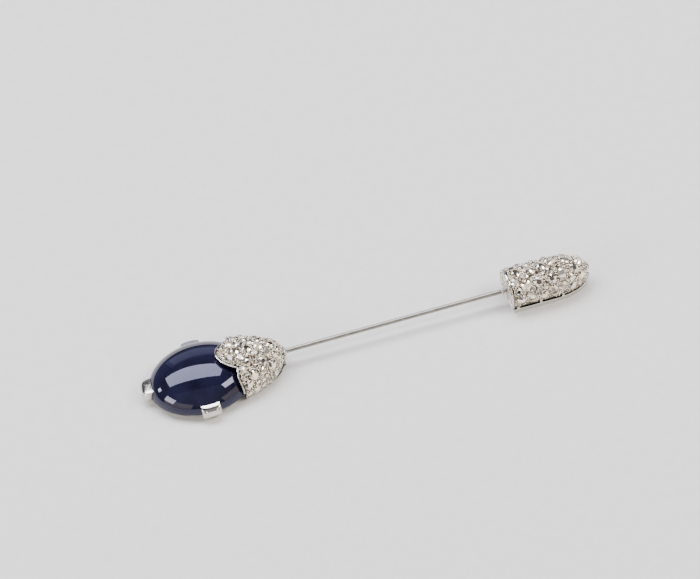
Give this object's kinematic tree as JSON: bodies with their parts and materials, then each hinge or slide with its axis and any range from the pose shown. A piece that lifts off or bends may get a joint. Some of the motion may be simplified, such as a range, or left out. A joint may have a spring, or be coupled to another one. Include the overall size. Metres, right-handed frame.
{
  "type": "two-ended dress pin",
  "caption": "Slim dress pin: an oval dark blue cabochon under a scalloped gem-set cap, a round stem, and a domed gem-set terminal that pulls off the stem's point.",
  "frame": {"origin": "middle of the pin's length, on the plane that its flat backs lie on, under the stem's axis", "axes": "+X from the cabochon end to the terminal along the stem, +Z out of the front, +Y across"},
  "size_m": [0.0768, 0.0164, 0.0066],
  "materials": {
    "sapphire": "high polish",
    "diamond": "old-cut facets, polished",
    "white_metal": "polished",
    "satin_metal": "fine satin between the set stones",
    "spring_metal": "bright spring wire"
  },
  "bodies": {
    "pin": {"cabochon": "sapphire", "cap_back_plate": "white_metal", "cap_diamond_01": "diamond", "cap_diamond_02": "diamond", "cap_diamond_03": "diamond", "cap_diamond_04": "diamond", "cap_diamond_05": "diamond", "cap_diamond_06": "diamond", "cap_diamond_07": "diamond", "cap_diamond_08": "diamond", "cap_diamond_09": "diamond", "cap_diamond_10": "diamond", "cap_diamond_11": "diamond", "cap_rim": "white_metal", "cap_shell": "satin_metal", "claw_end": "white_metal", "claw_far": "white_metal", "claw_near": "white_metal", "gallery_post_1": "white_metal", "gallery_post_2": "white_metal", "gallery_post_3": "white_metal", "gallery_post_4": "white_metal", "gallery_post_5": "white_metal", "gallery_post_6": "white_metal", "gallery_post_7": "white_metal", "gallery_post_8": "white_metal", "gallery_rail": "white_metal", "stem": "white_metal", "stem_socket": "white_metal", "stem_stop_bead": "white_metal", "stone_seat": "white_metal"},
    "catch": {"catch_tube": "satin_metal", "catch_end_plug": "satin_metal", "catch_spring": "spring_metal"},
    "terminal": {"entry_plate": "white_metal", "front_bearing": "satin_metal", "rear_bearing": "satin_metal", "terminal_back_plate": "white_metal", "terminal_diamond_01": "diamond", "terminal_diamond_02": "diamond", "terminal_diamond_03": "diamond", "terminal_diamond_04": "diamond", "terminal_diamond_05": "diamond", "terminal_diamond_06": "diamond", "terminal_diamond_07": "diamond", "terminal_diamond_08": "diamond", "terminal_diamond_09": "diamond", "terminal_diamond_10": "diamond", "terminal_diamond_11": "diamond", "terminal_post_1": "white_metal", "terminal_post_2": "white_metal", "terminal_post_3": "white_metal", "terminal_post_4": "white_metal", "terminal_post_5": "white_metal", "terminal_post_6": "white_metal", "terminal_shell": "satin_metal"}
  },
  "joints": [
    {"name": "terminal_pull", "type": "slide", "parent": "pin", "child": "catch", "axis": [1, 0, 0], "range_m": [0, 0.011], "deforming": ["catch_spring"]},
    {"name": "terminal_turn", "type": "hinge", "parent": "catch", "child": "terminal", "pos_m": [0.02412, 0, 0.0027], "axis": [1, 0, 0], "continuous": true}
  ]
}
